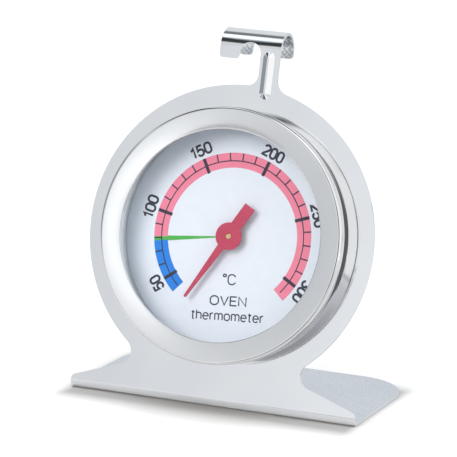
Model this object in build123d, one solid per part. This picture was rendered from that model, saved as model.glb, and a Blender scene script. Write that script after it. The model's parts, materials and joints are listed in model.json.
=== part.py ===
from build123d import *
import os
from math import cos, hypot, radians, sin, sqrt, tan

# Oven thermometer with a bimetal movement on a one-piece stamped stand. Millimetres, +Z up, +Y to the
# back. The origin is at the middle of the whole object's footprint, on the surface it stands on.
#
# The round parts are drawn in the dial's own frame: x to the right, y up along the leaning plate, and z
# out of the dial towards the reader. z = 0 is the front face of the stand's plate.

# ---- stand ----
lean = 12.4  # of the plate, backwards from upright, degrees
sheet = 0.6
disc_r = 30.0
disc_height = 33.2  # of the disc's centre over the ground
base_half_width = 30.25
base_back = 29.5  # of the base's rear edge behind the disc's centre
base_corner_r = 11.5
bend_r = 1.5  # outside of the bend between plate and base
foot_slope = 18.7  # of the foot's shoulders, degrees below level
foot_shoulder_drop = 31.3  # of the shoulders' outer ends below the disc's centre
foot_tip_r = 1.1
waist_r = 2.65
neck_left = 2.0
neck_right = 6.05
neck_fillet_left = 2.2
neck_fillet_right = 3.0

# ---- hook, rolled over from the top of the neck ----
hook_r = 3.9  # outside of the roll
hook_axis_height = 37.4  # of the roll's centre over the disc's centre, along the plate
hook_left = -6.7
hook_tab_end = 35.05
hook_rear_end = 36.35
hook_tab_r = 0.8
notch_half_width = 2.3
notch_depth = 3.5

# ---- rib pressed out of the neck towards the front ----
rib_half_width = 1.2
rib_height = 0.65
rib_flank = 32.0  # of the rib's sloping sides, degrees off the plate
rib_round = 0.12
rib_low = 27.55
rib_high = 36.9
rib_shift = -0.2  # from the middle of the neck

# ---- case and front ----
case_r = 23.65
case_wall = 0.5
case_back = -9.0
case_corner_r = 1.4
flange_r = 24.35
plate_hole_r = 23.8
bezel_sheet = 0.45
bezel_foot_r = 24.85
bezel_shoulder_r = 25.32
bezel_shoulder_z = 3.58
bezel_barrel_r = 3.0  # of the rounding between the side and the rim, seen in section
bezel_rim_r = 25.13
bezel_rim_z = 4.99
bezel_crease_r = 24.75
bezel_front = 6.1
bezel_lip_r = 20.9
bezel_lip_front = 5.75
bezel_crimp_r = 23.85
glass_r = 24.2
glass_front = 5.22
glass_thick = 1.2
spacer_r = 22.6  # inside of the plain wall round the dial
ring_wall = 0.45
ring_gap = 0.05  # between the case and what drops into it
support_back = -8.0
retainer_r = 26.6
retainer_thick = 0.5
retainer_teeth = 12

# ---- dial and pointer ----
dial_front = -1.65
dial_thick = 0.4
dial_hole_r = 1.9
rest_angle = 235.4  # of the pointer from 3 o'clock, anticlockwise, in the dial's own frame
dial_turn = 3.5  # of the case in the plate, anticlockwise
pointer_tip_reach = 15.1
pointer_tail_reach = 7.3
pointer_boss_r = 2.72
pointer_root_half = 0.85
pointer_tip_half = 0.27
pointer_tail_half = 1.18
pointer_back = 0.1
pointer_thick = 0.3
pin_r = 0.62
pin_front = 0.55
hub_r = 1.4
hub_gap = 0.4  # between the hub and the dial plate

# ---- movement ----
running_gap = 0.04
end_play = 0.03
bridge_sheet = 0.5
bridge_half_width = 3.0
bridge_leg_x = 11.5
bridge_foot_x = 16.5
bridge_front = -3.3
rivet_x = 14.2
rivet_r = 0.8
rivet_head_r = 1.5
rivet_head_thick = 0.5
bush_r = 1.5
bush_flange_r = 2.4
bush_flange_thick = 0.35
washer_r = 1.5
washer_thick = 0.2
pivot_r = 0.4
collet_r = 1.7
collet_back = -7.0
coil_back = -6.6
coil_width = 1.8
coil_strip = 0.3
coil_turns = 5
coil_pitch = 1.05
coil_tail = 1.4  # straight end of the strip in the post's slot
coil_turn = 90.0  # of the coil's ends from 3 o'clock
coil_rivet_r = 0.25
post_r = 0.95
screw_r = 0.5
vent_r = 1.1
vent_ring_r = 18.5
vent_count = 8

# ---- worked out ----
s, c = sin(radians(lean)), cos(radians(lean))
inside = case_back + case_wall
flange_front = bezel_sheet + case_wall
bearing_back = bridge_front - bridge_sheet - bush_flange_thick
collet_front = bearing_back - washer_thick - end_play
arbor_shoulder = inside + bush_flange_thick + washer_thick + end_play
pointer_front = pointer_back + pointer_thick
coil_inner_r = collet_r + coil_strip / 2
coil_outer_r = coil_inner_r + coil_turns * coil_pitch
post_reach = coil_tail - post_r * 0.6
turned = Vector(coil_outer_r, post_reach).rotate(Axis.Z, coil_turn)
post_place = (turned.X, turned.Y)
front_reach = bezel_crease_r * s + bezel_front * c
disc_y = (front_reach - base_back) / 2  # puts the origin in the middle, front to back

os.makedirs("parts", exist_ok=True)
dial_plane = Plane(origin=(0, disc_y, disc_height), x_dir=(1, 0, 0), z_dir=(0, -c, s))
case_turn = Rot(0, 0, dial_turn)


def place(shape):
    """From the dial's frame to the object's own."""
    return dial_plane.location * shape


def cylinder(r, z_low, z_high, x=0.0, y=0.0):
    return Pos(x, y, (z_low + z_high) / 2) * Cylinder(r, z_high - z_low)


def tube(r_out, r_in, z_low, z_high):
    return cylinder(r_out, z_low, z_high) - cylinder(r_in, z_low - 1, z_high + 1)


def plate_of(sketch, z_low, z_high):
    return Pos(0, 0, z_low) * extrude(sketch, z_high - z_low)


def ends(part, index):
    """Edges at the lowest (0) or highest (-1) level of a part."""
    return part.edges().group_by(Axis.Z)[index]


# ---- stand plate ----


def foot_outline(bottom):
    """The flared foot, down to the bend, with its outer corners rounded."""
    inner_x = 12.0
    inner_drop = foot_shoulder_drop - (base_half_width - inner_x) * tan(radians(foot_slope))
    half = [(inner_x, -inner_drop), (base_half_width, -foot_shoulder_drop), (base_half_width, bottom)]
    outline = half + [(-x, y) for x, y in reversed(half)]
    return make_face(Polyline(*outline, close=True))


def upright_outline(bottom):
    """Disc, foot and neck as one outline, with the waist and neck fillets."""
    neck = Pos((neck_left + neck_right) / 2, hook_axis_height / 2) * Rectangle(
        neck_right - neck_left, hook_axis_height
    )
    whole = Circle(disc_r) + foot_outline(bottom) + neck

    def near(x, y, tolerance=1.5):
        return [v for v in whole.vertices() if hypot(v.X - x, v.Y - y) < tolerance]

    for side in (-1, 1):
        whole = fillet(near(side * base_half_width, -foot_shoulder_drop, 0.3), foot_tip_r)
        lower = [v for v in whole.vertices() if v.Y < 0 and 10 < side * v.X < 24]
        waist = [v for v in lower if abs(hypot(v.X, v.Y) - disc_r) < 0.01]
        whole = fillet(waist, waist_r)
    whole = fillet(near(neck_left, sqrt(disc_r**2 - neck_left**2)), neck_fillet_left)
    whole = fillet(near(neck_right, sqrt(disc_r**2 - neck_right**2)), neck_fillet_right)
    return whole


def bend_and_base():
    """The bend under the plate and the base behind it, in the object's own frame."""
    turn = 90 + lean
    foot_y = disc_y - disc_height * tan(radians(lean))
    axis_y = foot_y + bend_r * tan(radians(turn / 2))
    base = Rectangle(2 * base_half_width, disc_y + base_back - axis_y, align=(Align.CENTER, Align.MIN))
    base = fillet(base.vertices().group_by(Axis.Y)[-1], base_corner_r)
    base = Pos(0, axis_y, 0) * extrude(base, sheet)
    far = 3 * bend_r
    wedge = make_face(Polyline((0, 0), (0, -far), (-far, -far), (-far * c, far * s), close=True))
    bend = (Circle(bend_r) - Circle(bend_r - sheet)) & wedge
    left_end = Plane(origin=(-base_half_width, axis_y, bend_r), z_dir=(1, 0, 0), x_dir=(0, 1, 0))
    bend = extrude(left_end * bend, 2 * base_half_width)
    return bend + base


def hook_roll():
    """The strip rolled over backwards, cut by the front and rear notches."""
    width = neck_right - hook_left
    r_in = hook_r - sheet
    roll = Circle(hook_r) - Circle(r_in)
    roll = roll & (Pos(0, hook_r / 2) * Rectangle(3 * hook_r, hook_r))
    front = Pos(hook_r - sheet / 2, (hook_tab_end - hook_axis_height) / 2) * Rectangle(
        sheet, hook_axis_height - hook_tab_end
    )
    rear = Pos(-hook_r + sheet / 2, (hook_rear_end - hook_axis_height) / 2) * Rectangle(
        sheet, hook_axis_height - hook_rear_end
    )
    section_plane = Plane(
        origin=(hook_left, hook_axis_height, -hook_r), x_dir=(0, 0, 1), z_dir=(-1, 0, 0)
    )
    strip = extrude(section_plane * (roll + front + rear), -width)

    middle = (hook_left + neck_right) / 2
    left_tab_end = middle - notch_half_width

    def notch(end):
        arch_y = end + notch_depth - notch_half_width
        shape = Pos(middle, arch_y) * Circle(notch_half_width)
        low = end - 4
        shape += Pos(middle, (arch_y + low) / 2) * Rectangle(2 * notch_half_width, arch_y - low)
        return shape

    def corner(x, end, inward):
        r = hook_tab_r
        square = Pos(x + inward * r / 2, end + r / 2) * Rectangle(r, r)
        return square - Pos(x + inward * r, end + r) * Circle(r)

    right_tab = middle + notch_half_width
    front_cut = notch(hook_tab_end)
    for x, inward in ((hook_left, 1), (left_tab_end, -1)):
        front_cut += corner(x, hook_tab_end, inward)
    rear_cut = notch(hook_rear_end)
    for x, inward in ((hook_left, 1), (left_tab_end, -1), (right_tab, 1), (neck_right, -1)):
        rear_cut += corner(x, hook_rear_end, inward)
    strip -= plate_of(front_cut, -hook_r, 1)
    strip -= plate_of(rear_cut, -2 * hook_r - 1, -hook_r)
    return strip


def make_rib():
    """Bead with sloping flanks and round ends, standing on the plate's front."""
    slot = SlotOverall(rib_high - rib_low, 2 * rib_half_width, rotation=90)
    bead = extrude(slot, rib_height, taper=90 - rib_flank)
    bead = fillet(ends(bead, -1), rib_round)
    return Pos((neck_left + neck_right) / 2 + rib_shift, (rib_low + rib_high) / 2) * bead


def make_stand_plate():
    meet_z = bend_r * (1 + s)  # height over the ground where the plate meets the bend
    outline = upright_outline((meet_z - disc_height) / c)
    upright = plate_of(outline - Circle(plate_hole_r), -sheet, 0)
    rib = make_rib()
    upright = upright + hook_roll() + rib - Pos(0, 0, -sheet) * rib
    return place(upright) + bend_and_base()


# ---- case, bezel and what they hold ----


def make_rear_case():
    outer = cylinder(case_r, case_back, flange_front)
    outer = fillet(ends(outer, 0), case_corner_r)
    inner = cylinder(case_r - case_wall, inside, flange_front + 1)
    inner = fillet(ends(inner, 0), case_corner_r - case_wall)
    cup = outer + cylinder(flange_r, bezel_sheet, flange_front) - inner
    holes = [(0, 0, bush_r), (rivet_x, 0, rivet_r), (-rivet_x, 0, rivet_r), (*post_place, screw_r)]
    for i in range(vent_count):
        angle = radians(360 / vent_count * (i + 0.5))
        holes.append((vent_ring_r * cos(angle), vent_ring_r * sin(angle), vent_r))
    for x, y, r in holes:
        cup -= cylinder(r, case_back - 1, inside + 1, x, y)
    return cup


def make_case_retaining_ring():
    ring = tube(retainer_r, case_r, -sheet - retainer_thick, -sheet)
    for i in range(retainer_teeth):
        slot = Pos(case_r + 0.6, 0, -sheet) * Box(2.6, 0.8, 4)
        ring -= Rot(0, 0, 360 / retainer_teeth * (i + 0.5)) * slot
    return ring


def make_bezel_ring():
    """Sheet ring: crimped foot, flared side, barrel, steep rim, sloping face and rolled-in lip."""
    t = bezel_sheet
    crimp = (bezel_crimp_r, 0)
    foot = (bezel_foot_r, 0)
    shoulder = (bezel_shoulder_r, bezel_shoulder_z)
    rim = (bezel_rim_r, bezel_rim_z)
    crease = (bezel_crease_r, bezel_front)
    face_end = (bezel_lip_r + 0.3, bezel_lip_front)
    roll_mid = (bezel_lip_r + 0.09, bezel_lip_front - 0.07)
    lip = (bezel_lip_r, bezel_lip_front - 0.25)
    lip_in = (bezel_lip_r + 0.06, glass_front)
    face_end_in = (bezel_lip_r + 0.75, bezel_lip_front - t)
    crease_in = (bezel_crease_r - 0.3, bezel_front - t)
    rim_in = (bezel_rim_r - t, bezel_rim_z)
    shoulder_in = (bezel_shoulder_r - t, bezel_shoulder_z)
    foot_in = (bezel_foot_r - t + 0.02, t)
    crimp_in = (bezel_crimp_r, t)
    outline = [
        Line(crimp, foot),
        Line(foot, shoulder),
        RadiusArc(shoulder, rim, -bezel_barrel_r),
        Line(rim, crease),
        Line(crease, face_end),
        ThreePointArc(face_end, roll_mid, lip),
        Line(lip, lip_in),
        Line(lip_in, face_end_in),
        Line(face_end_in, crease_in),
        Line(crease_in, rim_in),
        Line(rim_in, shoulder_in),
        Line(shoulder_in, foot_in),
        Line(foot_in, crimp_in),
        Line(crimp_in, crimp),
    ]
    return revolve(Plane.XZ * make_face(outline), Axis.Z)


def make_lens_glass():
    glass = cylinder(glass_r, glass_front - glass_thick, glass_front)
    return fillet(ends(glass, 0) + ends(glass, -1), 0.15)


def make_inner_ring(z_low, z_high):
    return tube(spacer_r + ring_wall, spacer_r, z_low, z_high)


def make_dial_plate():
    return tube(case_r - case_wall - ring_gap, dial_hole_r, dial_front - dial_thick, dial_front)


# ---- pointer and movement ----


def make_pointer():
    tip_x = pointer_tip_reach - pointer_tip_half
    arm = Polyline(
        (0, pointer_root_half),
        (tip_x, pointer_tip_half),
        (tip_x, -pointer_tip_half),
        (0, -pointer_root_half),
        close=True,
    )
    tail = Pos(-pointer_tail_reach / 2, 0) * Rectangle(pointer_tail_reach, 2 * pointer_tail_half)
    outline = make_face(arm) + Pos(tip_x, 0) * Circle(pointer_tip_half) + tail
    outline += Circle(pointer_boss_r)
    return plate_of(outline - Circle(pin_r), pointer_back, pointer_front)


def make_pointer_bush():
    """Hub between the dial plate and the pointer, pressed on the arbor."""
    hub = tube(hub_r, pin_r, dial_front + hub_gap, pointer_back)
    return fillet(ends(hub, 0), 0.1)


def make_arbor():
    rod = cylinder(pin_r, arbor_shoulder, pin_front)
    rod = fillet(ends(rod, -1), 0.25)
    return rod + cylinder(pivot_r, case_back + 0.25, arbor_shoulder)


def make_front_bearing_bush():
    back = bridge_front - bridge_sheet
    body = cylinder(bush_r, back, bridge_front + 0.25)
    flange = cylinder(bush_flange_r, bearing_back, back)
    return body + flange - cylinder(pin_r + running_gap, -12, 5)


def make_rear_bearing_bush():
    """Blind bush: its flange lies inside the case and its riveted head outside."""
    head = cylinder(bush_r + 0.4, case_back - 0.3, case_back)
    head = fillet(ends(head, 0), 0.2)
    body = cylinder(bush_r, case_back, inside)
    flange = cylinder(bush_flange_r, inside, inside + bush_flange_thick)
    return body + flange + head - cylinder(pivot_r + running_gap, case_back + 0.2, inside + 2)


def make_thrust_washer(z_low, shaft_r):
    return tube(washer_r, shaft_r + running_gap, z_low, z_low + washer_thick)


def make_movement_bridge():
    """Hat-shaped strip: feet on the case's back, two legs, and the front bar with the bush."""
    t = bridge_sheet
    right = [
        (bridge_leg_x, bridge_front),
        (bridge_leg_x, inside + t),
        (bridge_foot_x, inside + t),
        (bridge_foot_x, inside),
        (bridge_leg_x - t, inside),
        (bridge_leg_x - t, bridge_front - t),
    ]
    points = right + [(-x, z) for x, z in reversed(right)]
    section = make_face(Plane.XZ * Polyline(*points, close=True))
    bridge = extrude(section, bridge_half_width, both=True)
    bridge -= cylinder(bush_r, -15, 5)
    for x in (-rivet_x, rivet_x):
        bridge -= cylinder(rivet_r, -15, 5, x)
    bends = [e for e in bridge.edges().filter_by(Axis.Y) if abs(abs(e.center().X) - bridge_leg_x) < 0.1]
    return fillet(bends, 0.4)


def make_bridge_rivets():
    """One rivet through each of the bridge's feet and the case's back."""
    foot_top = inside + bridge_sheet
    rivets = []
    for x in (-rivet_x, rivet_x):
        shank = cylinder(rivet_r, case_back, foot_top, x)
        inner_head = cylinder(rivet_head_r, foot_top, foot_top + rivet_head_thick, x)
        outer_head = cylinder(rivet_head_r, case_back - rivet_head_thick, case_back, x)
        inner_head = fillet(ends(inner_head, -1), 0.3)
        outer_head = fillet(ends(outer_head, 0), 0.3)
        rivets.append(shank + inner_head + outer_head)
    return rivets


def coil_rivet_shank():
    """The hole through the coil's inner end into the collet, along the dial's x."""
    start = collet_r - 0.7
    length = coil_inner_r + coil_strip / 2 - start
    mid_z = coil_back + coil_width / 2
    return Pos(start + length / 2, 0, mid_z) * Rot(0, 90, 0) * Cylinder(coil_rivet_r, length)


def make_coil_rivet():
    head_x = coil_inner_r + coil_strip / 2
    mid_z = coil_back + coil_width / 2
    head = Pos(head_x + 0.1, 0, mid_z) * Rot(0, 90, 0) * Cylinder(2 * coil_rivet_r, 0.2)
    return Rot(0, 0, coil_turn) * (coil_rivet_shank() + head)


def make_coil_collet():
    collet = tube(collet_r, pin_r, collet_back, collet_front) - coil_rivet_shank()
    return Rot(0, 0, coil_turn) * collet


def make_bimetal_coil():
    """Flat spiral of half circles about two centres, with a straight outer end."""
    step = coil_pitch / 2
    lines = []
    for i in range(2 * coil_turns):
        side = 1 if i % 2 == 0 else -1
        centre = 0 if i % 2 == 0 else step
        r = coil_inner_r + i * step
        lines.append(ThreePointArc((centre + side * r, 0), (centre, side * r), (centre - side * r, 0)))
    lines.append(Line((coil_outer_r, 0), (coil_outer_r, coil_tail)))
    strip = trace(Wire(lines), coil_strip)
    spiral = plate_of(strip, coil_back, coil_back + coil_width) - coil_rivet_shank()
    return Rot(0, 0, coil_turn) * (spiral - cylinder(collet_r, -20, 0))


def make_coil_anchor_post():
    """Post with a slot that grips the coil's outer end."""
    x, y = post_place
    top = coil_back + coil_width + 0.3
    post = cylinder(post_r, inside, top, x, y) - cylinder(screw_r, inside, inside + 1, x, y)
    slot_middle = (coil_back + top + 1) / 2
    slot = Pos(x, y, slot_middle) * Rot(0, 0, coil_turn) * Box(coil_strip, 4, top + 1 - coil_back)
    return post - slot


def make_anchor_post_screw():
    x, y = post_place
    head = cylinder(1.2, case_back - 0.6, case_back, x, y)
    head = fillet(ends(head, 0), 0.2)
    slot = Pos(x, y, case_back - 0.6) * Rot(0, 0, 30) * Box(3, 0.35, 0.5)
    return head + cylinder(screw_r, case_back, inside + 1, x, y) - slot


in_case = {
    "rear_case": make_rear_case(),
    "case_retaining_ring": make_case_retaining_ring(),
    "bezel_ring": make_bezel_ring(),
    "lens_glass": make_lens_glass(),
    "spacer_ring": make_inner_ring(dial_front, glass_front - glass_thick),
    "dial_support_ring": make_inner_ring(support_back, dial_front - dial_thick),
    "dial_plate": make_dial_plate(),
    "movement_bridge": make_movement_bridge(),
    "bridge_rivets": make_bridge_rivets(),
    "front_bearing_bush": make_front_bearing_bush(),
    "rear_bearing_bush": make_rear_bearing_bush(),
    "front_thrust_washer": make_thrust_washer(bearing_back - washer_thick, pin_r),
    "rear_thrust_washer": make_thrust_washer(inside + bush_flange_thick, pivot_r),
    "bimetal_coil": make_bimetal_coil(),
    "coil_anchor_post": make_coil_anchor_post(),
    "anchor_post_screw": make_anchor_post_screw(),
}
turning = {
    "pointer": Rot(0, 0, rest_angle) * make_pointer(),
    "pointer_bush": make_pointer_bush(),
    "arbor": make_arbor(),
    "coil_collet": make_coil_collet(),
    "coil_rivet": make_coil_rivet(),
}


def write(node, pieces):
    solids = [solid for piece in pieces for solid in piece.solids()]
    export_step(Compound(children=solids), f"parts/{node}.step")


write("stand_plate", [make_stand_plate()])
for node, shape in (in_case | turning).items():
    pieces = shape if isinstance(shape, list) else [shape]
    write(node, [place(case_turn * piece) for piece in pieces])
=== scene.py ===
"""Looks of the oven thermometer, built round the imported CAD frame. Metres, +Z up, +Y to the back."""

import json
from math import cos, pi, radians, sin, sqrt

import bmesh
import bpy
from mathutils import Matrix, Vector


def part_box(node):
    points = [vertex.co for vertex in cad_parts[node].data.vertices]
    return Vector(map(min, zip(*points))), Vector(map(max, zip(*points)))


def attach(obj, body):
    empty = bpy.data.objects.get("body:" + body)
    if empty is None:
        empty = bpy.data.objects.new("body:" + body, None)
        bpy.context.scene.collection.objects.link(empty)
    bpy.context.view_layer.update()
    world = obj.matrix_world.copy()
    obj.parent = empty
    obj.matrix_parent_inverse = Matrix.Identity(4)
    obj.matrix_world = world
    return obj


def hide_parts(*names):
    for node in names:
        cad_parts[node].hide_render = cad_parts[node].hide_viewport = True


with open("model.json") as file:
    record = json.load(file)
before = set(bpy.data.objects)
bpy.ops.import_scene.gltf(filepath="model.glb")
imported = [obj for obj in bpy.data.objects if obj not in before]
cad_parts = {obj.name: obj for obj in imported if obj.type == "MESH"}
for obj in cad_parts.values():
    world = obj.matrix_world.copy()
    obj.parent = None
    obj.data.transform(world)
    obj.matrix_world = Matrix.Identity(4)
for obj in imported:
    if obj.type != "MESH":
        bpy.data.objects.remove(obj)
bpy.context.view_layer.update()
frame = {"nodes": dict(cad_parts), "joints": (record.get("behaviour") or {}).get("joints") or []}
nodes = frame["nodes"]

MM = 0.001

# ---- the dial's own frame: x to the right, y up along the plate, z out towards the reader ----

hinge = frame["joints"][0]
dial_centre = Vector(hinge["pos_m"])
dial_out = -Vector(hinge["axis"]).normalized()
dial_right = Vector((1, 0, 0))
dial_up = dial_out.cross(dial_right)
DIAL = Matrix.Translation(dial_centre) @ Matrix((dial_right, dial_up, dial_out)).transposed().to_4x4()


def in_dial(world):
    """A world point in the dial's frame, in millimetres."""
    return (DIAL.inverted() @ Vector(world)) / MM


def radial(name):
    """Smallest and largest radius, then lowest and highest z, of a round CAD node in the dial's frame."""
    points = [in_dial(v.co) for v in nodes[name].data.vertices]
    radii = [sqrt(p.x * p.x + p.y * p.y) for p in points]
    heights = [p.z for p in points]
    return min(radii), max(radii), min(heights), max(heights)


GLASS_R, GLASS_BACK, GLASS_FRONT = (radial("lens_glass")[i] for i in (1, 2, 3))
DIAL_FRONT = radial("dial_plate")[3]
BEZEL_IN, BEZEL_OUT, BEZEL_FRONT = (radial("bezel_ring")[i] for i in (0, 1, 3))
SCALE_TURN = 3.5  # of the printed scale in the stand, degrees anticlockwise
HOOK_R = 3.9 * MM  # outside of the hook's roll
EMBOSS_PITCH = 1.15 * MM  # of the linen grain on the back of the stand's sheet

# ---- materials ----


def new_material(name):
    """A node material, its tree and its shader."""
    material = bpy.data.materials.new(name)
    material.use_nodes = True
    tree = material.node_tree
    shader = tree.nodes["Principled BSDF"]
    return material, tree, shader


def node(tree, kind, **values):
    """A new node with these settings."""
    made = tree.nodes.new(kind)
    for key, value in values.items():
        setattr(made, key, value)
    return made


def object_coords(tree):
    """Place on the piece, in metres."""
    return node(tree, "ShaderNodeTexCoord").outputs["Object"]


def split_xyz(tree, vector):
    """The three parts of a vector, as a list."""
    made = node(tree, "ShaderNodeSeparateXYZ")
    tree.links.new(vector, made.inputs["Vector"])
    return [made.outputs[axis] for axis in "XYZ"]


def noise(tree, vector, scale, detail=3.0, roughness=0.5):
    """Soft noise from about 0.3 to 0.7, finer with a larger scale."""
    made = node(tree, "ShaderNodeTexNoise")
    made.inputs["Scale"].default_value = scale
    made.inputs["Detail"].default_value = detail
    made.inputs["Roughness"].default_value = roughness
    tree.links.new(vector, made.inputs["Vector"])
    return made.outputs["Fac"]


def ramp(tree, fac, stops):
    """A colour by position, from stops of position and colour."""
    made = node(tree, "ShaderNodeValToRGB")
    elements = made.color_ramp.elements
    while len(elements) < len(stops):
        elements.new(0.5)
    for element, (position, colour) in zip(elements, stops):
        element.position = position
        element.color = (*colour, 1)
    tree.links.new(fac, made.inputs["Fac"])
    return made.outputs["Color"]


def remap(tree, value, low, high, from_low=0.0, from_high=1.0):
    """A value stretched from one range to another, and held at its ends."""
    made = node(tree, "ShaderNodeMapRange")
    made.inputs["From Min"].default_value = from_low
    made.inputs["From Max"].default_value = from_high
    made.inputs["To Min"].default_value = low
    made.inputs["To Max"].default_value = high
    tree.links.new(value, made.inputs["Value"])
    return made.outputs["Result"]


def math_node(tree, operation, *inputs):
    """An arithmetic step on numbers or on other nodes' values."""
    made = node(tree, "ShaderNodeMath", operation=operation)
    for socket, value in zip(made.inputs, inputs):
        if isinstance(value, (int, float)):
            socket.default_value = value
        else:
            tree.links.new(value, socket)
    return made.outputs["Value"]


def mix_colours(tree, fac, a, b):
    """Colour a where the factor is 0 and b where it is 1."""
    made = node(tree, "ShaderNodeMix", data_type="RGBA")
    tree.links.new(fac, made.inputs["Factor"])
    tree.links.new(a, made.inputs["A"])
    tree.links.new(b, made.inputs["B"])
    return made.outputs["Result"]


def bump(tree, shader, height, strength, distance):
    """Small relief on a shader's surface."""
    made = node(tree, "ShaderNodeBump")
    made.inputs["Strength"].default_value = strength
    made.inputs["Distance"].default_value = distance
    tree.links.new(height, made.inputs["Height"])
    tree.links.new(made.outputs["Normal"], shader.inputs["Normal"])


def metal(name, low, high, rough_low, rough_high, grain_scale, grain_bump):
    """Polished or satin metal: slow tone change, fine grain in the roughness, faint bump."""
    material, tree, shader = new_material(name)
    shader.inputs["Metallic"].default_value = 1.0
    vector = object_coords(tree)
    slow = noise(tree, vector, 60, 2)
    tree.links.new(ramp(tree, slow, [(0.3, low), (0.7, high)]), shader.inputs["Base Color"])
    grain = noise(tree, vector, grain_scale, 4, 0.6)
    tree.links.new(remap(tree, grain, rough_low, rough_high, 0.3, 0.7), shader.inputs["Roughness"])
    bump(tree, shader, grain, grain_bump, 0.02 * MM)
    return material


def hook_axis():
    """A point on the axis of the hook's roll, the highest thing on the stand."""
    points = [v.co for v in nodes["stand_plate"].data.vertices]
    top = max(points, key=lambda p: p.z)
    return Vector((0, top.y, top.z - HOOK_R))


def on_sheet_back(tree, y, z):
    """1 on the back of the stand's sheet and 0 on its front and edges, by place and facing.

    The back is behind the leaning plate, on top of the base, and on the inside of the rolled hook.
    """
    facing = node(tree, "ShaderNodeTexCoord").outputs["Normal"]
    _, face_y, face_z = split_xyz(tree, facing)
    roll = hook_axis()
    hook_low = roll.z - 4 * MM  # the hook begins above this
    base_high = 3 * MM  # and the base lies below this

    along_y = math_node(tree, "MULTIPLY", math_node(tree, "SUBTRACT", y, roll.y), face_y)
    along_z = math_node(tree, "MULTIPLY", math_node(tree, "SUBTRACT", z, roll.z), face_z)
    inward = math_node(tree, "LESS_THAN", math_node(tree, "ADD", along_y, along_z), -1 * MM)
    in_roll = math_node(tree, "MULTIPLY", inward, math_node(tree, "GREATER_THAN", z, hook_low))

    backward = math_node(tree, "GREATER_THAN", face_y, 0.6)
    behind = math_node(tree, "MULTIPLY", backward, math_node(tree, "LESS_THAN", z, hook_low))

    upward = math_node(tree, "GREATER_THAN", face_z, 0.8)
    on_base = math_node(tree, "MULTIPLY", upward, math_node(tree, "LESS_THAN", z, base_high))
    return math_node(tree, "MAXIMUM", in_roll, math_node(tree, "MAXIMUM", behind, on_base))


def stand_steel():
    """Sheet steel, polished on its front and embossed with a linen grain on its back; the grain's hollows
    are painted darker, as painted shade.
    """
    material, tree, shader = new_material("stand_polished_steel")
    shader.inputs["Metallic"].default_value = 1.0
    vector = object_coords(tree)
    x, y, z = split_xyz(tree, vector)
    back = on_sheet_back(tree, y, z)

    turns = 2 * pi / EMBOSS_PITCH
    across = math_node(tree, "SINE", math_node(tree, "MULTIPLY", x, turns))
    along = math_node(tree, "MULTIPLY", math_node(tree, "ADD", y, z), turns)
    weave = math_node(tree, "MULTIPLY", across, math_node(tree, "SINE", along))

    slow = noise(tree, vector, 60, 2)
    bright = ramp(tree, slow, [(0.3, (0.80, 0.82, 0.85)), (0.7, (0.84, 0.86, 0.88))])
    # painted shade: on the back the colour goes from this darker tone in the grain's hollows to the bright
    # tone on its ridges
    hollow_shade_tone = ramp(tree, slow, [(0.3, (0.58, 0.61, 0.64)), (0.7, (0.62, 0.65, 0.68))])
    painted_hollow_shade = math_node(tree, "MULTIPLY", back, remap(tree, weave, 1, 0, -1, 1))
    tree.links.new(mix_colours(tree, painted_hollow_shade, bright, hollow_shade_tone), shader.inputs["Base Color"])

    fine = noise(tree, vector, 900, 4, 0.6)
    grain = math_node(tree, "MULTIPLY", back, math_node(tree, "MULTIPLY", weave, 0.9))
    height = math_node(tree, "ADD", grain, math_node(tree, "MULTIPLY", fine, 0.06))
    bump(tree, shader, height, 0.6, 0.045 * MM)

    polish = remap(tree, fine, 0.05, 0.08, 0.3, 0.7)
    duller = math_node(tree, "MULTIPLY", back, 0.16)
    tree.links.new(math_node(tree, "ADD", polish, duller), shader.inputs["Roughness"])
    return material


STAND = stand_steel()
BEZEL = metal("bezel_bright_steel", (0.76, 0.77, 0.79), (0.80, 0.81, 0.82), 0.07, 0.11, 900, 0.05)
CASE = metal("case_drawn_steel", (0.62, 0.64, 0.66), (0.70, 0.71, 0.73), 0.26, 0.32, 700, 0.12)
SPRING = metal("spring_steel", (0.45, 0.46, 0.48), (0.55, 0.56, 0.58), 0.3, 0.42, 700, 0.3)
BRASS = metal("turned_brass", (0.72, 0.52, 0.25), (0.82, 0.62, 0.34), 0.2, 0.3, 1200, 0.2)
BIMETAL = metal("bimetal_strip", (0.42, 0.38, 0.36), (0.55, 0.48, 0.42), 0.3, 0.45, 900, 0.3)


def paint(name, low, high, roughness):
    """Paint, lacquer or ink: a fine speck in its colour, gloss and surface."""
    material, tree, shader = new_material(name)
    speck = noise(tree, object_coords(tree), 500, 3)
    tree.links.new(ramp(tree, speck, [(0.3, low), (0.7, high)]), shader.inputs["Base Color"])
    tree.links.new(remap(tree, speck, roughness - 0.05, roughness + 0.05), shader.inputs["Roughness"])
    bump(tree, shader, speck, 0.1, 0.02 * MM)
    return material


INNER = paint("inner_wall_lacquer", (0.42, 0.46, 0.49), (0.46, 0.50, 0.53), 0.35)
DIAL_WHITE = paint("dial_enamel", (0.745, 0.83, 0.93), (0.77, 0.85, 0.95), 0.5)
POINTER_RED = paint("pointer_red_paint", (0.46, 0.045, 0.10), (0.50, 0.055, 0.115), 0.5)
PRINT_DARK = paint("print_navy_ink", (0.018, 0.022, 0.045), (0.026, 0.030, 0.055), 0.5)
PRINT_RED = paint("print_red_ink", (0.82, 0.23, 0.35), (0.86, 0.25, 0.37), 0.5)
PRINT_BLUE = paint("print_blue_ink", (0.006, 0.20, 0.74), (0.012, 0.22, 0.78), 0.5)
PRINT_GREEN = paint("print_green_ink", (0.06, 0.42, 0.06), (0.08, 0.46, 0.08), 0.5)


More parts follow.
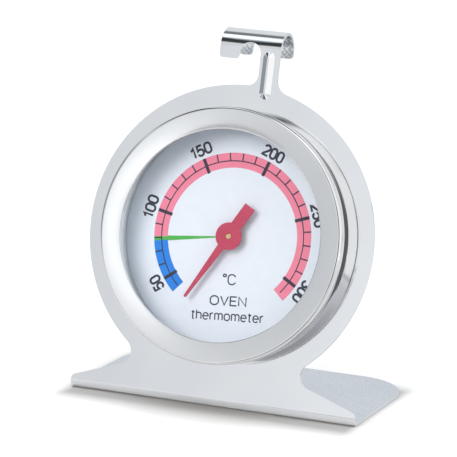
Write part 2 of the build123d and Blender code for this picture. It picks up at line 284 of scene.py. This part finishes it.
def glass_material():
    """Clear glass with little reflection, which lets the lamps' light through to the dial."""
    material, tree, shader = new_material("lens_clear_glass")
    shader.inputs["Base Color"].default_value = (1, 1, 1, 1)
    shader.inputs["Transmission Weight"].default_value = 1.0
    shader.inputs["IOR"].default_value = 1.25
    shader.inputs["Roughness"].default_value = 0.0
    clear = node(tree, "ShaderNodeBsdfTransparent")
    path = node(tree, "ShaderNodeLightPath")
    mix = node(tree, "ShaderNodeMixShader")
    tree.links.new(path.outputs["Is Shadow Ray"], mix.inputs["Fac"])
    tree.links.new(shader.outputs["BSDF"], mix.inputs[1])
    tree.links.new(clear.outputs["BSDF"], mix.inputs[2])
    tree.links.new(mix.outputs["Shader"], tree.nodes["Material Output"].inputs["Surface"])
    return material


GLASS = glass_material()

# ---- mesh helpers, in millimetres in the dial's frame ----


def add_mesh(name, points, faces, material, body, smooth_angle=30.0):
    """A closed mesh that rides on a body, from points in the dial's frame."""
    mesh = bpy.data.meshes.new(name)
    mesh.from_pydata([DIAL @ (Vector(p) * MM) for p in points], [], faces)
    mesh.validate()
    mesh.materials.append(material)
    work = bmesh.new()
    work.from_mesh(mesh)
    bmesh.ops.recalc_face_normals(work, faces=work.faces)
    work.to_mesh(mesh)
    work.free()
    mesh.shade_smooth()
    mesh.set_sharp_from_angle(angle=radians(smooth_angle))
    made = bpy.data.objects.new(name, mesh)
    bpy.context.scene.collection.objects.link(made)
    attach(made, body)
    return made


def arc(centre, r, start, end, steps):
    """Points on an arc in radius and height, angles in degrees from outwards, turning to the front."""
    angles = [radians(start + (end - start) * i / steps) for i in range(steps + 1)]
    return [(centre[0] + r * cos(a), centre[1] + r * sin(a)) for a in angles]


def lathe(name, outline, material, body, segments, smooth_angle):
    """A closed outline in radius and height, turned about the dial's axis."""
    count = len(outline)
    points = []
    for i in range(segments):
        a = 2 * pi * i / segments
        points += [(r * cos(a), r * sin(a), z) for r, z in outline]
    faces = []
    for i in range(segments):
        here, there = i * count, (i + 1) % segments * count
        for j in range(count):
            k = (j + 1) % count
            faces.append((here + j, here + k, there + k, there + j))
    return add_mesh(name, points, faces, material, body, smooth_angle)


# ---- bezel and glass ----


def bezel_outline():
    """Crimped foot, side, fold, sloping face and lip, then back along the inside: radius and height."""
    sheet = 0.45
    hem_r = 23.9  # inner edge of the crimped foot
    foot_r, curl_r = 24.85, 0.35
    barrel_r, barrel_z = 3.0, 3.89  # the rounded side, and where it is widest
    fold_r, fold_centre_r = 0.65, 24.72
    lip_r, lip_z = 0.2, 5.75
    side_low, side_high = -6.0, 21.5  # which way the side faces at its ends, degrees off outwards
    face_slope = 96.0

    curl = arc((foot_r - curl_r, curl_r), curl_r, -90, side_low, 8)
    barrel = arc((BEZEL_OUT - barrel_r, barrel_z), barrel_r, side_low, side_high, 14)
    fold = arc((fold_centre_r, BEZEL_FRONT - fold_r), fold_r, side_high, face_slope, 12)
    lip = arc((BEZEL_IN + lip_r, lip_z - lip_r), lip_r, face_slope, 180, 8)
    outside = [(hem_r, 0.0)] + curl + barrel + fold + lip
    inside = [
        (BEZEL_IN + 0.06, GLASS_FRONT),
        (BEZEL_IN + 0.75, lip_z - sheet),
        (24.3, BEZEL_FRONT - sheet),
        (24.68, 4.99),
        (BEZEL_OUT - sheet, 3.6),
        (foot_r - sheet, sheet),
        (hem_r, sheet),
    ]
    return outside + inside


bezel = lathe("bezel_polished_ring", bezel_outline(), BEZEL, "body", 300, 20.0)
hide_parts("bezel_ring")

pane_edge = 0.15  # the ground-off edges
pane_middle = 0.001  # just off the axis, so that no face is empty
pane_outline = [
    (pane_middle, GLASS_BACK),
    (GLASS_R - pane_edge, GLASS_BACK),
    (GLASS_R, GLASS_BACK + pane_edge),
    (GLASS_R, GLASS_FRONT - pane_edge),
    (GLASS_R - pane_edge, GLASS_FRONT),
    (pane_middle, GLASS_FRONT),
]
pane = lathe("lens_pane", pane_outline, GLASS, "body", 240, 30.0)
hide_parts("lens_glass")

# ---- print on the dial ----

INK = 0.012  # thickness of the print
REFERENCE = 175.0  # the temperature at the top of the scale
STEP = 0.986  # degrees of turn per degree of temperature


def scale_angle(temperature):
    """Degrees anticlockwise from 3 o'clock in the stand."""
    return 90 + SCALE_TURN + (REFERENCE - temperature) * STEP


def polar(r, angle, z):
    """A point in the dial's frame, from a radius and degrees anticlockwise."""
    return (r * cos(radians(angle)), r * sin(radians(angle)), z)


def sector(name, r_in, r_out, t_low, t_high, material, level):
    """A printed band between two temperatures, as a thin closed solid."""
    steps = max(2, int(abs(t_high - t_low) / 1.5))
    low, high = DIAL_FRONT + level * INK, DIAL_FRONT + (level + 1) * INK
    points = []
    for i in range(steps + 1):
        a = scale_angle(t_low + (t_high - t_low) * i / steps)
        for r, z in ((r_in, low), (r_out, low), (r_out, high), (r_in, high)):
            points.append(polar(r, a, z))
    faces = [(0, 1, 2, 3), tuple(4 * steps + k for k in (3, 2, 1, 0))]
    for i in range(steps):
        for k in range(4):
            a, b = 4 * i + k, 4 * i + (k + 1) % 4
            faces.append((a, a + 4, b + 4, b))
    return add_mesh(name, points, faces, material, "body")


def radial_bar(temperature, r_in, r_out, width_in, width_out, level):
    """A printed tick or wedge along a radius, as the points and faces of a thin closed solid."""
    low, high = DIAL_FRONT + level * INK, DIAL_FRONT + (level + 1) * INK
    a = radians(scale_angle(temperature))
    along, across = Vector((cos(a), sin(a), 0)), Vector((-sin(a), cos(a), 0))
    flat = [
        along * r_in - across * width_in / 2,
        along * r_out - across * width_out / 2,
        along * r_out + across * width_out / 2,
        along * r_in + across * width_in / 2,
    ]
    points = [(p.x, p.y, low) for p in flat] + [(p.x, p.y, high) for p in flat]
    faces = [(3, 2, 1, 0), (4, 5, 6, 7)]
    faces += [(k, (k + 1) % 4, (k + 1) % 4 + 4, k + 4) for k in range(4)]
    return points, faces


def joined(name, parts, material):
    """Several closed solids as one piece."""
    points, faces = [], []
    for part_points, part_faces in parts:
        start = len(points)
        points += part_points
        faces += [tuple(start + k for k in face) for face in part_faces]
    return add_mesh(name, points, faces, material, "body")


BAND_IN, BAND_OUT = 13.65, 16.6
LINE_R, LINE_WIDTH = 15.0, 0.22
TICK_WIDTH, MAJOR_WIDTH = 0.27, 0.66
MAJOR = range(50, 301, 50)
MINOR = [t for t in range(50, 301, 10) if t not in MAJOR]

sector("band_blue", BAND_IN, BAND_OUT, 38.8, 78, PRINT_BLUE, 0)
sector("band_green", BAND_IN, BAND_OUT, 78, 81, PRINT_GREEN, 0)
sector("band_red", BAND_IN, BAND_OUT, 81, 313.4, PRINT_RED, 0)
sector("scale_line", LINE_R - LINE_WIDTH / 2, LINE_R + LINE_WIDTH / 2, 40, 311, PRINT_DARK, 1)
minor_ticks = [radial_bar(t, LINE_R, BAND_OUT, TICK_WIDTH, TICK_WIDTH, 1) for t in MINOR]
joined("ticks_minor", minor_ticks, PRINT_DARK)
major_ticks = [radial_bar(t, BAND_IN - 0.15, BAND_OUT, MAJOR_WIDTH, MAJOR_WIDTH, 1) for t in MAJOR]
joined("ticks_major", major_ticks, PRINT_DARK)
joined("green_wedge", [radial_bar(79.5, 2.0, BAND_IN, 0.2, 1.0, 0)], PRINT_GREEN)


def bow(x, y, rx, ry, start, end):
    """Part of an ellipse in a letter's box, angles in degrees."""
    steps = max(3, int(abs(end - start) / 12))
    angles = [radians(start + (end - start) * i / steps) for i in range(steps + 1)]
    return [(x + rx * cos(a), y + ry * sin(a)) for a in angles]


def round_letter(width, height, r):
    """A closed letter or figure with straight sides between two rounded ends of height r."""
    half = width / 2
    return bow(half, height - r, half, r, 0, 180) + bow(half, r, half, r, 180, 360) + [(width, height - r)]


def shoulder(left, width, height, r):
    """From a stem up over a shoulder and down to the line, as in h and m."""
    return bow(left + width / 2, height - r, width / 2, r, 180, 0) + [(left + width, 0.0)]


# A condensed sans serif. Each letter is its width and a list of strokes along the middle of its lines.
FIG, HALF = 0.50, 0.25  # width of a figure, and half of it
CAP, LOW = 1.0, 0.74  # height of the capitals and figures, and of the small letters
LETTERS = {
    "0": (FIG, [round_letter(FIG, CAP, 0.30)]),
    "1": (0.34, [[(0.0, 0.76), (0.14, 0.82), (0.24, CAP), (0.24, 0.0)]]),
    "2": (FIG, [bow(HALF, 0.73, HALF, 0.27, 170, -35) + [(0.04, 0.12), (0.0, 0.0), (FIG, 0.0)]]),
    "3": (FIG, [bow(HALF, 0.765, 0.22, 0.235, 160, -90), bow(HALF, 0.265, HALF, 0.265, 90, -165)]),
    "5": (FIG, [[(0.46, CAP), (0.08, CAP), (0.03, 0.50)] + bow(HALF, 0.31, HALF, 0.31, 128, -160)]),
    "°": (0.24, [bow(0.12, 0.88, 0.12, 0.12, 0, 360)]),
    "C": (0.60, [bow(0.30, 0.66, 0.30, 0.34, 18, 180) + bow(0.30, 0.34, 0.30, 0.34, 180, 342)]),
    "O": (0.62, [round_letter(0.62, CAP, 0.38)]),
    "V": (0.58, [[(0.0, CAP), (0.29, 0.0), (0.58, CAP)]]),
    "E": (0.48, [[(0.48, CAP), (0.0, CAP), (0.0, 0.0), (0.48, 0.0)], [(0.0, 0.52), (0.42, 0.52)]]),
    "N": (0.54, [[(0.0, 0.0), (0.0, CAP), (0.54, 0.0), (0.54, CAP)]]),
    "t": (0.26, [
        [(0.11, 0.94), (0.11, 0.12)] + bow(0.21, 0.12, 0.10, 0.12, 180, 280),
        [(0.0, LOW), (0.26, LOW)],
    ]),
    "h": (0.40, [[(0.0, 0.0), (0.0, CAP)], [(0.0, 0.48)] + shoulder(0.0, 0.40, LOW, 0.24)]),
    "e": (0.44, [
        [(0.0, 0.39), (0.44, 0.39)]
        + bow(0.22, 0.42, 0.22, 0.32, 0, 180)
        + bow(0.22, 0.32, 0.22, 0.32, 180, 322),
    ]),
    "r": (0.24, [[(0.0, 0.0), (0.0, LOW)], [(0.0, 0.46)] + bow(0.20, 0.48, 0.20, 0.26, 180, 80)]),
    "m": (0.64, [
        [(0.0, 0.0), (0.0, LOW)],
        [(0.0, 0.52)] + shoulder(0.0, 0.32, LOW, 0.20),
        [(0.32, 0.52)] + shoulder(0.32, 0.32, LOW, 0.20),
    ]),
    "o": (0.46, [round_letter(0.46, LOW, 0.32)]),
}


def without_repeats(path):
    """The path's points as vectors, with no point twice in a row."""
    kept = []
    for point in path:
        if not kept or (Vector(point) - kept[-1]).length > 1e-6:
            kept.append(Vector(point))
    return kept


def stroke(path, weight):
    """A line of even weight along a path, as a thin closed solid, mitred at its corners."""
    path = without_repeats(path)
    runs = [b - a for a, b in zip(path, path[1:])]
    closed = (path[0] - path[-1]).length < 1e-6
    first, last = (runs[-1], runs[0]) if closed else (runs[0], runs[-1])
    points = []
    for p, before, after in zip(path, [first] + runs, runs + [last]):
        along = (before.normalized() + after.normalized()).normalized()
        mitre = min(1.6, 1 / max(0.3, along.dot(after.normalized())))
        side = Vector((-along.y, along.x)) * weight / 2 * mitre
        for level in (1, 2):
            z = DIAL_FRONT + level * INK
            points += [(*(p - side), z), (*(p + side), z)]
    faces = [(0, 1, 3, 2), tuple(4 * (len(path) - 1) + k for k in (2, 3, 1, 0))]
    for i in range(len(path) - 1):
        for k, n in ((0, 1), (1, 3), (3, 2), (2, 0)):
            a, b = 4 * i + k, 4 * i + n
            faces.append((a, a + 4, b + 4, b))
    return points, faces


def lettering(name, text, centre, height, width, turn, weight):
    """Printed text of a given height, width and weight in millimetres, centred, turned anticlockwise."""
    gap = 0.17  # between letters, as a share of their height
    total = sum(LETTERS[c][0] for c in text) + gap * (len(text) - 1)
    across, tall = (width - weight) / total, height - weight
    turned = Matrix.Rotation(radians(turn), 2)
    parts = []
    x = -total / 2
    for c in text:
        letter_width, strokes = LETTERS[c]
        for path in strokes:
            flat = [Vector(((x + px) * across, (py - CAP / 2) * tall)) for px, py in path]
            parts.append(stroke([Vector(centre) + turned @ p for p in flat], weight))
        x += letter_width + gap
    return joined(name, parts, PRINT_DARK)


NUMERAL_R, NUMERAL_HEIGHT, NUMERAL_WEIGHT = 18.4, 2.5, 0.45
NUMERAL_WIDTH = {2: 3.2, 3: 4.75}  # by its count of figures
for t in MAJOR:
    angle = scale_angle(t)
    place = polar(NUMERAL_R, angle, 0)[:2]
    width = NUMERAL_WIDTH[len(str(t))]
    lettering(f"numeral_{t}", str(t), place, NUMERAL_HEIGHT, width, angle - 90, NUMERAL_WEIGHT)


def below(distance):
    """A place on the dial, straight below its centre as the scale is turned."""
    return polar(distance, SCALE_TURN - 90, 0)[:2]


lettering("unit_celsius", "°C", below(8.5), 2.25, 2.9, SCALE_TURN, 0.27)
lettering("word_oven", "OVEN", below(12.75), 2.0, 7.8, SCALE_TURN, 0.27)
lettering("word_thermometer", "thermometer", below(15.75), 2.0, 15.4, SCALE_TURN, 0.25)

# ---- materials of the carried-over CAD nodes ----

CAD_LOOKS = {
    "stand_plate": STAND,
    "rear_case": CASE,
    "case_retaining_ring": SPRING,
    "spacer_ring": INNER,
    "dial_support_ring": INNER,
    "dial_plate": DIAL_WHITE,
    "movement_bridge": CASE,
    "bridge_rivets": SPRING,
    "front_bearing_bush": BRASS,
    "rear_bearing_bush": BRASS,
    "front_thrust_washer": SPRING,
    "rear_thrust_washer": SPRING,
    "bimetal_coil": BIMETAL,
    "coil_anchor_post": BRASS,
    "anchor_post_screw": SPRING,
    "pointer": POINTER_RED,
    "pointer_bush": BRASS,
    "arbor": BRASS,
    "coil_collet": BRASS,
    "coil_rivet": SPRING,
}
for name, material in CAD_LOOKS.items():
    for slot in nodes[name].material_slots:
        slot.material = material

# ---- floor, light and camera ----


def level_sheet(name, left, right, front, back, height, material):
    """A level rectangle between two sides, facing up."""
    mesh = bpy.data.meshes.new(name)
    corners = [(left, front, height), (right, front, height), (right, back, height), (left, back, height)]
    mesh.from_pydata(corners, [], [(0, 1, 2, 3)])
    mesh.materials.append(material)
    made = bpy.data.objects.new(name, mesh)
    bpy.context.scene.collection.objects.link(made)
    return made


def footprint_shade(tree):
    """Soft shade round the base's footprint, drawn out towards the front."""
    low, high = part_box("stand_plate")
    reach_x, reach_y, forward = 4.5 * MM, 9 * MM, 5 * MM
    x, y, _ = split_xyz(tree, object_coords(tree))
    beyond = []
    for position, middle, half, reach in (
        (x, 0.0, high[0], reach_x),
        (y, (low[1] + high[1]) / 2 - forward, (high[1] - low[1]) / 2, reach_y),
    ):
        offset = math_node(tree, "ABSOLUTE", math_node(tree, "SUBTRACT", position, middle))
        past_edge = math_node(tree, "SUBTRACT", offset, half - reach * 0.2)
        outside = math_node(tree, "MAXIMUM", past_edge, 0.0)
        beyond.append(math_node(tree, "POWER", math_node(tree, "DIVIDE", outside, reach), 2.0))
    distance = math_node(tree, "SQRT", math_node(tree, "ADD", *beyond))
    return ramp(tree, distance, [
        (0.0, (0.42, 0.42, 0.42)),
        (0.55, (0.80, 0.80, 0.80)),
        (1.0, (1, 1, 1)),
    ])


def floor():
    """A pale floor that darkens where something stands close over it, and round the base."""
    material, tree, shader = new_material("floor_white")
    shader.inputs["Roughness"].default_value = 0.7
    shader.inputs["Specular IOR Level"].default_value = 0.2
    contact = node(tree, "ShaderNodeAmbientOcclusion", samples=16)
    contact.inputs["Distance"].default_value = 16 * MM
    near = ramp(tree, contact.outputs["AO"], [
        (0.45, (0.29, 0.285, 0.28)),
        (0.86, (0.83, 0.83, 0.83)),
        (0.96, (0.92, 0.92, 0.92)),
    ])
    shade = node(tree, "ShaderNodeMix", data_type="RGBA", blend_type="DARKEN")
    shade.inputs["Factor"].default_value = 1.0
    tree.links.new(near, shade.inputs["A"])
    tree.links.new(footprint_shade(tree), shade.inputs["B"])

    # only the camera sees the shade: to reflections and bounced light the floor is an even grey
    path = node(tree, "ShaderNodeLightPath")
    seen = node(tree, "ShaderNodeMix", data_type="RGBA")
    seen.inputs["A"].default_value = (0.62, 0.62, 0.62, 1)
    tree.links.new(path.outputs["Is Camera Ray"], seen.inputs["Factor"])
    tree.links.new(shade.outputs["Result"], seen.inputs["B"])
    tree.links.new(seen.outputs["Result"], shader.inputs["Base Color"])

    half = 3.0
    made = level_sheet("floor", -half, half, -half, half, 0, material)


def dark_card():
    """A grey card on the floor to the front right, seen only as a reflection in the bezel."""
    material, tree, shader = new_material("card_grey")
    x, _, _ = split_xyz(tree, object_coords(tree))
    across = remap(tree, x, 0, 1, 15 * MM, 80 * MM)
    tone = ramp(tree, across, [(0.0, (0.26, 0.26, 0.27)), (1.0, (0.46, 0.46, 0.47))])
    tree.links.new(tone, shader.inputs["Base Color"])

    left, right, front, back = -2 * MM, 260 * MM, -400 * MM, -36 * MM
    above_floor = 0.3 * MM
    made = level_sheet("dark_card", left, right, front, back, above_floor, material)
    made.visible_camera = False
    made.visible_diffuse = False
    made.visible_transmission = False
    made.visible_shadow = False


floor()
dark_card()


def studio():
    """Surroundings by direction: white panels and darker gaps round the horizon, a soft box overhead."""
    world = bpy.data.worlds.new("studio")
    bpy.context.scene.world = world
    world.use_nodes = True
    tree = world.node_tree
    x, y, z = split_xyz(tree, node(tree, "ShaderNodeTexCoord").outputs["Generated"])
    # bearing: 0 to the front, positive to the right, as a share of a whole turn about 0.5
    bearing = math_node(tree, "ARCTAN2", x, math_node(tree, "MULTIPLY", y, -1))
    bearing = remap(tree, bearing, 0, 1, -pi, pi)
    elevation = remap(tree, math_node(tree, "ARCSINE", z), 0, 1, -pi / 2, pi / 2)

    def grey(brightness, blue=0.02):
        """A grey with this much more blue than red."""
        return (brightness, brightness * (1 + blue / 2), brightness * (1 + blue))

    def stops(values, span):
        """Stops of a ramp from degrees and a grey, where the ramp spans this many degrees about 0."""
        return [(degrees / span + 0.5, grey(*value)) for degrees, value in values]

    def between(fac, low, high, span):
        """0 below one angle and 1 above another, in degrees."""
        return remap(tree, fac, 0, 1, 0.5 + low / span, 0.5 + high / span)

    around = ramp(tree, bearing, stops([
        (-180, (0.75, 0.12)),
        (-150, (0.75, 0.12)),
        (-125, (0.45, 0.15)),
        (-100, (0.32, 0.15)),
        (-50, (0.32, 0.15)),
        (-36, (0.70, 0.05)),
        (-25, (0.74, 0.03)),
        (-20, (0.86, 0.03)),
        (-16, (1.02,)),
        (-12, (1.28,)),
        (-8, (1.28,)),
        (-1, (0.13,)),
        (24, (0.13,)),
        (31, (1.15, -0.03)),
        (100, (1.10, -0.03)),
        (130, (0.85,)),
        (180, (0.75, 0.12)),
    ], 360))
    front_left = ramp(tree, elevation, stops([
        (24, (0.70,)),
        (31, (0.80,)),
        (37, (0.05,)),
        (54, (0.05,)),
        (61, (1.25, 0.12)),
        (68, (1.25, 0.12)),
        (76, (0.22,)),
    ], 180))
    front_right = ramp(tree, elevation, stops([
        (30, (1.15, -0.04)),
        (54, (1.15, -0.04)),
        (61, (1.7, 0.12)),
        (68, (1.7, 0.12)),
        (76, (0.22,)),
    ], 180))
    back = ramp(tree, elevation, stops([
        (30, (0.85,)),
        (57, (0.80,)),
        (62, (0.22,)),
    ], 180))
    front_middle = ramp(tree, elevation, stops([
        (34, (0.10,)),
        (42, (1.15, -0.04)),
        (54, (1.15, -0.04)),
        (61, (1.7, 0.12)),
        (68, (1.7, 0.12)),
        (76, (0.22,)),
    ], 180))
    to_middle = between(bearing, -17, -9, 360)
    to_right = between(bearing, 12, 22, 360)
    front = mix_colours(tree, to_right, front_middle, front_right)
    front = mix_colours(tree, to_middle, front_left, front)
    behind = remap(tree, y, 0, 1, -0.02, 0.02)
    high = between(elevation, 22, 30, 180)
    upper = mix_colours(tree, behind, front, back)
    surroundings = mix_colours(tree, high, around, upper)
    tree.links.new(surroundings, tree.nodes["Background"].inputs["Color"])


studio()


def area_light(name, place, size, power, colour=(1, 1, 1)):
    """A soft box that faces the dial's centre and leaves no image of itself in the metal or glass."""
    data = bpy.data.lights.new(name, "AREA")
    data.shape = "RECTANGLE"
    data.size, data.size_y = size
    data.energy = power
    data.color = colour
    made = bpy.data.objects.new(name, data)
    made.location = place
    made.rotation_euler = (dial_centre - Vector(place)).to_track_quat("-Z", "Y").to_euler()
    made.visible_camera = False
    made.visible_glossy = False
    made.visible_transmission = False
    bpy.context.scene.collection.objects.link(made)


area_light("key", (-0.17, -0.70, 0.40), (0.40, 0.40), 3.9, (1.0, 0.93, 0.88))
area_light("top_fill", (0.0, 0.1, 1.0), (1.6, 1.6), 7.0)
# low from the right, over the bezel's lip, on to the wall inside the glass
area_light("wall_glow", (0.9, -0.13, 0.07), (0.05, 0.05), 8.0)

# ---- camera: a long lens on a line through a point just above the dial's centre ----

AZIMUTH, ELEVATION, ROLL = radians(21.48), radians(12.0), radians(2.30)
DISTANCE = 0.631  # metres from the point it aims at
LENS = 252.1  # millimetres
AIM_UP, AIM_RIGHT = 1.55 * MM, -0.21 * MM  # from the dial's centre, as the camera sees them
to_camera = Vector((sin(AZIMUTH) * cos(ELEVATION), -cos(AZIMUTH) * cos(ELEVATION), sin(ELEVATION)))
level_right = Vector((cos(AZIMUTH), sin(AZIMUTH), 0))
level_up = to_camera.cross(level_right)
right = level_right * cos(ROLL) + level_up * sin(ROLL)
up = level_up * cos(ROLL) - level_right * sin(ROLL)
aim = dial_centre + up * AIM_UP + right * AIM_RIGHT
camera_data = bpy.data.cameras.new("camera")
camera_data.lens = LENS
camera_data.sensor_width = 36
camera_data.clip_start = 0.01
camera = bpy.data.objects.new("camera", camera_data)
camera.matrix_world = (
    Matrix.Translation(aim + to_camera * DISTANCE)
    @ Matrix((right, up, to_camera)).transposed().to_4x4()
)
bpy.context.scene.collection.objects.link(camera)
bpy.context.scene.camera = camera
bpy.context.scene.view_settings.view_transform = "Standard"
